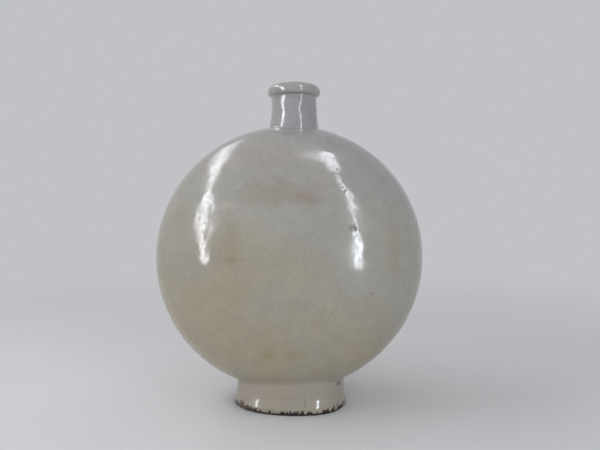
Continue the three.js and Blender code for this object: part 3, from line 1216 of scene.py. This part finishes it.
def grit_finish(finish):
    """Sand from the kiln shelf, some of it scorched."""
    scorched_cloud = (300.0, 2.0)
    scorched = (0.40, 0.62)
    dull = 0.85
    sheen = 0.55
    material, tree, shader, place = new_material("kiln_sand")
    dark = speck_mask(tree, shared_groups().specks, place, SCORCHED_SAND)
    mixed = ramp(tree, cloud(tree, place, *scorched_cloud), *scorched)
    shade = blended(tree, mixed, opaque(finish.scorched), opaque(finish.grit))
    shade = blended(tree, dark, shade, opaque(finish.rust))
    feed(tree, shader, {"Base Color": shade, "Roughness": ramp(tree, mixed, 0.0, 1.0, dull, sheen)})
    return material


def seen_directly(tree):
    """1 for what the camera, a reflection or glass looks at, 0 for light on its way to a dull surface."""
    path = tree.nodes.new("ShaderNodeLightPath").outputs
    mirrored = maths(tree, "MAXIMUM", path["Is Glossy Ray"], path["Is Transmission Ray"])
    return maths(tree, "MAXIMUM", path["Is Camera Ray"], mirrored)


def floor_finish(looks):
    """Plain pale floor, very slightly uneven, that runs into the backdrop without a line."""
    fade = (0.16, 0.80)
    uneven_cloud = (6.0, 3.0)
    uneven = (0.3, 0.7, 0.985, 1.015)
    roughness = 0.75
    shine = 0.2
    material, tree, shader, place = new_material("studio_floor")
    gain = ramp(tree, cloud(tree, place, *uneven_cloud), *uneven)
    shade = brightened(tree, opaque(looks.floor), gain)
    feed(tree, shader, {"Base Color": shade, "Roughness": roughness, "Specular IOR Level": shine})
    away = vectors(tree, "LENGTH", place)
    share = maths(tree, "MULTIPLY", ramp(tree, away, *fade), seen_directly(tree))
    glow = add_node(tree, "ShaderNodeEmission", {"Color": opaque(looks.backdrop), "Strength": 1.0})
    both = add_node(tree, "ShaderNodeMixShader", {0: share, 1: shader.outputs[0], 2: glow.outputs[0]})
    join(tree, tree.nodes["Material Output"].inputs["Surface"], both.outputs[0])
    return material


class VASE_OT_half_shells(bpy.types.Operator):
    """Builds the two thrown bowls of the body, front and back."""

    bl_idname = "vase.half_shells"
    bl_label = "Body halves"

    def execute(self, context):
        sizes = context.scene.vase_sizes
        material = white_glaze(context.scene.vase_finish)
        for side, direction in (("front", -1), ("back", 1)):
            piece = half_shell(f"glazed_{side}_half", sizes, direction)
            settled(piece, material, "white_glaze", f"{side}_half_shell")
        return {"FINISHED"}


class VASE_OT_seam(bpy.types.Operator):
    """Builds the slip between the two bowls."""

    bl_idname = "vase.seam"
    bl_label = "Seam"

    def execute(self, context):
        band = seam_band("glazed_seam", context.scene.vase_sizes)
        settled(band, white_glaze(context.scene.vase_finish), "joining_slip", "seam_slip")
        return {"FINISHED"}


class VASE_OT_neck(bpy.types.Operator):
    """Builds the neck with its rolled lip and the pooled glaze at its base."""

    bl_idname = "vase.neck"
    bl_label = "Neck and lip"

    def execute(self, context):
        neck = glazed_neck("glazed_neck", context.scene.vase_sizes)
        material = white_glaze(context.scene.vase_finish)
        settled(neck, material, "white_glaze", "neck_with_lip", "neck_joint_slip")
        return {"FINISHED"}


class VASE_OT_foot(bpy.types.Operator):
    """Builds the foot ring with its ragged glaze edge, and the grit on its rim."""

    bl_idname = "vase.foot"
    bl_label = "Foot ring and grit"

    def execute(self, context):
        sizes = context.scene.vase_sizes
        finish = context.scene.vase_finish
        foot = glazed_foot("glazed_foot", sizes)
        settled(foot, foot_finish(finish), "foot_glaze", "foot_ring", "foot_joint_slip")
        settled(kiln_grit("kiln_grit", sizes), grit_finish(finish), "foot_glaze")
        return {"FINISHED"}


@dataclass(frozen=True)
class Strip:
    """A lamp from one point to another, facing the vase, with a brightness at each end.

    Its edges may be soft, as a share of its width or length. It may be left out of reflections, or light
    nothing but them.
    """

    name: str
    start: tuple
    end: tuple
    width: float
    tint: tuple
    start_bright: float
    end_bright: float
    softness: float
    end_softness: float = 0.0
    start_softness: float = 0.0
    mirrored: bool = True
    lighting: bool = True


LEFT_TINT = (0.95, 0.95, 1.0)
RIGHT_TINT = (0.87, 0.92, 1.0)
TOP_TINT = (0.93, 0.92, 1.0)
FILL_TINT = (0.97, 0.97, 1.0)
STRIPS = (
    Strip("left_low", (-0.530, -0.552, 0.045), (-0.548, -0.500, 0.22), 0.075, LEFT_TINT, 12.0, 11.0, 0.5),
    Strip(
        "left_middle", (-0.548, -0.500, 0.22), (-0.575, -0.360, 0.50), 0.220, LEFT_TINT, 10.0, 10.0,
        0.7, lighting=False,
    ),
    Strip("left_upper", (-0.575, -0.360, 0.50), (-0.510, -0.090, 0.70), 0.140, LEFT_TINT, 10.0, 8.0, 0.7),
    Strip("left_high", (-0.510, -0.090, 0.70), (-0.325, 0.390, 0.67), 0.250, LEFT_TINT, 7.0, 2.5, 1.0),
    Strip(
        "right_low", (0.395, -0.668, 0.005), (0.397, -0.634, 0.18), 0.085, RIGHT_TINT, 19.0, 13.0,
        0.6, start_softness=0.30, lighting=False,
    ),
    Strip("right_rise", (0.397, -0.634, 0.18), (0.400, -0.585, 0.43), 0.090, RIGHT_TINT, 10.0, 9.0, 0.6),
    Strip("right_middle", (0.400, -0.585, 0.43), (0.325, -0.445, 0.70), 0.085, RIGHT_TINT, 9.0, 5.0, 0.7),
    Strip(
        "right_high", (0.312, -0.440, 0.710), (0.245, -0.140, 0.850), 0.150, TOP_TINT, 6.0, 8.0,
        0.6, 0.2, lighting=False,
    ),
    Strip(
        "right_tail", (0.020, -0.330, 0.800), (0.230, -0.270, 0.810), 0.320, TOP_TINT, 0.3, 3.4,
        1.0, lighting=False,
    ),
    Strip(
        "front_fill", (-0.900, -1.500, 0.400), (0.400, -1.500, 0.400), 0.700, FILL_TINT, 7.5, 4.0,
        1.0, 1.0, mirrored=False,
    ),
    Strip(
        "back_fill", (0.600, 1.500, 0.400), (-0.600, 1.500, 0.400), 0.700, FILL_TINT, 4.0, 4.0,
        1.0, 1.0, mirrored=False,
    ),
)
LAMP_AIM = Vector((0.0, 0.0, 0.11))


def shade_strip(lamp, strip, brightness):
    """Lets a lamp's brightness run from one end to the other and fade towards its edges."""
    half = 0.5
    lamp.use_nodes = True
    tree = lamp.node_tree
    place = add_node(tree, "ShaderNodeNewGeometry", {}).outputs["Parametric"]
    parts = add_node(tree, "ShaderNodeSeparateXYZ", {"Vector": place}).outputs
    along = ramp(tree, parts["X"], 0.0, 1.0, brightness * strip.start_bright, brightness * strip.end_bright)
    for part, softness in (("X", strip.end_softness), ("Y", strip.softness)):
        if softness > 0.0:
            off_middle = maths(tree, "ABSOLUTE", maths(tree, "SUBTRACT", parts[part], half))
            along = maths(tree, "MULTIPLY", along, ramp(tree, off_middle, half, half - softness / 2))
    if strip.start_softness > 0.0:
        along = maths(tree, "MULTIPLY", along, ramp(tree, parts["X"], 0.0, strip.start_softness))
    join(tree, tree.nodes["Emission"].inputs["Strength"], along)


def add_strip(strip, brightness):
    """A strip lamp, hidden from the camera."""
    start = Vector(strip.start)
    end = Vector(strip.end)
    along = (end - start).normalized()
    middle = (start + end) / 2
    away = middle - LAMP_AIM
    away = (away - along * away.dot(along)).normalized()
    across = away.cross(along)
    lamp = bpy.data.lights.new(strip.name, "AREA")
    lamp.shape = "RECTANGLE"
    lamp.size = (end - start).length
    lamp.size_y = strip.width
    lamp.energy = math.pi * lamp.size * lamp.size_y
    lamp.color = strip.tint
    shade_strip(lamp, strip, brightness)
    holder = bpy.data.objects.new(strip.name, lamp)
    holder.matrix_world = Matrix.Translation(middle) @ Matrix((along, across, away)).transposed().to_4x4()
    holder.visible_camera = False
    holder.visible_glossy = strip.mirrored
    holder.visible_diffuse = strip.lighting
    bpy.context.scene.collection.objects.link(holder)


def add_world(looks):
    """Even light from all round, and a pale backdrop for the camera and for reflections."""
    white = (1.0, 1.0, 1.0)
    world = bpy.data.worlds.new("studio")
    world.use_nodes = True
    tree = world.node_tree
    light = tree.nodes["Background"]
    feed(tree, light, {"Color": opaque(white), "Strength": looks.fill})
    backdrop = add_node(tree, "ShaderNodeBackground", {"Color": opaque(looks.backdrop), "Strength": 1.0})
    seen = seen_directly(tree)
    both = add_node(tree, "ShaderNodeMixShader", {0: seen, 1: light.outputs[0], 2: backdrop.outputs[0]})
    join(tree, tree.nodes["World Output"].inputs["Surface"], both.outputs[0])
    bpy.context.scene.world = world


def add_floor(looks):
    """A wide pale floor."""
    half_width = 8.0
    form = bmesh.new()
    bmesh.ops.create_grid(form, x_segments=1, y_segments=1, size=half_width)
    floor = object_of("studio_floor", form)
    floor.data.materials.append(floor_finish(looks))


def add_camera():
    """The camera where the photograph was taken, looking a little down."""
    place = (0.00789, -0.4407, 0.1610)
    tilt_down = 0.0596
    nearest = 0.01
    lens = bpy.data.cameras.new("photo_camera")
    lens.sensor_fit = "HORIZONTAL"
    lens.sensor_width = SENSOR_WIDTH
    lens.lens = SENSOR_WIDTH * FOCAL_PIXELS / IMAGE_WIDTH
    lens.clip_start = nearest
    camera = bpy.data.objects.new("photo_camera", lens)
    camera.location = place
    camera.rotation_euler = (math.pi / 2 - tilt_down, 0.0, 0.0)
    bpy.context.scene.collection.objects.link(camera)
    bpy.context.scene.camera = camera


class VASE_OT_stage(bpy.types.Operator):
    """Sets up the floor, the light and the camera."""

    bl_idname = "vase.stage"
    bl_label = "Stage"

    def execute(self, context):
        looks = context.scene.vase_stage
        add_floor(looks)
        add_world(looks)
        for strip in STRIPS:
            add_strip(strip, looks.strips)
        add_camera()
        context.scene.view_settings.view_transform = "Standard"
        return {"FINISHED"}


STEPS = (VASE_OT_half_shells, VASE_OT_seam, VASE_OT_neck, VASE_OT_foot, VASE_OT_stage)


class VASE_PT_pieces(bpy.types.Panel):
    """Lists the steps that build the vase."""

    bl_idname = "VASE_PT_pieces"
    bl_label = "Flat Bottle Vase"
    bl_space_type = "VIEW_3D"
    bl_region_type = "UI"
    bl_category = "Vase"

    def draw(self, context):
        for step in STEPS:
            self.layout.operator(step.bl_idname)
        for group in (context.scene.vase_sizes, context.scene.vase_finish, context.scene.vase_stage):
            box = self.layout.box()
            for name in group.__annotations__:
                box.prop(group, name)


CLASSES = (VaseSizes, VaseFinish, StageLooks, *STEPS, VASE_PT_pieces)


def register():
    """Makes the sizes, colours, steps and panel known to Blender."""
    for each in CLASSES:
        bpy.utils.register_class(each)
    bpy.types.Scene.vase_sizes = PointerProperty(type=VaseSizes)
    bpy.types.Scene.vase_finish = PointerProperty(type=VaseFinish)
    bpy.types.Scene.vase_stage = PointerProperty(type=StageLooks)


def unregister():
    """Takes them away again."""
    del bpy.types.Scene.vase_stage
    del bpy.types.Scene.vase_finish
    del bpy.types.Scene.vase_sizes
    for each in reversed(CLASSES):
        bpy.utils.unregister_class(each)


def main():
    """Builds the vase and its stage."""
    register()
    bpy.ops.vase.half_shells()
    bpy.ops.vase.seam()
    bpy.ops.vase.neck()
    bpy.ops.vase.foot()
    bpy.ops.vase.stage()


if __name__ == "__main__":
    main()
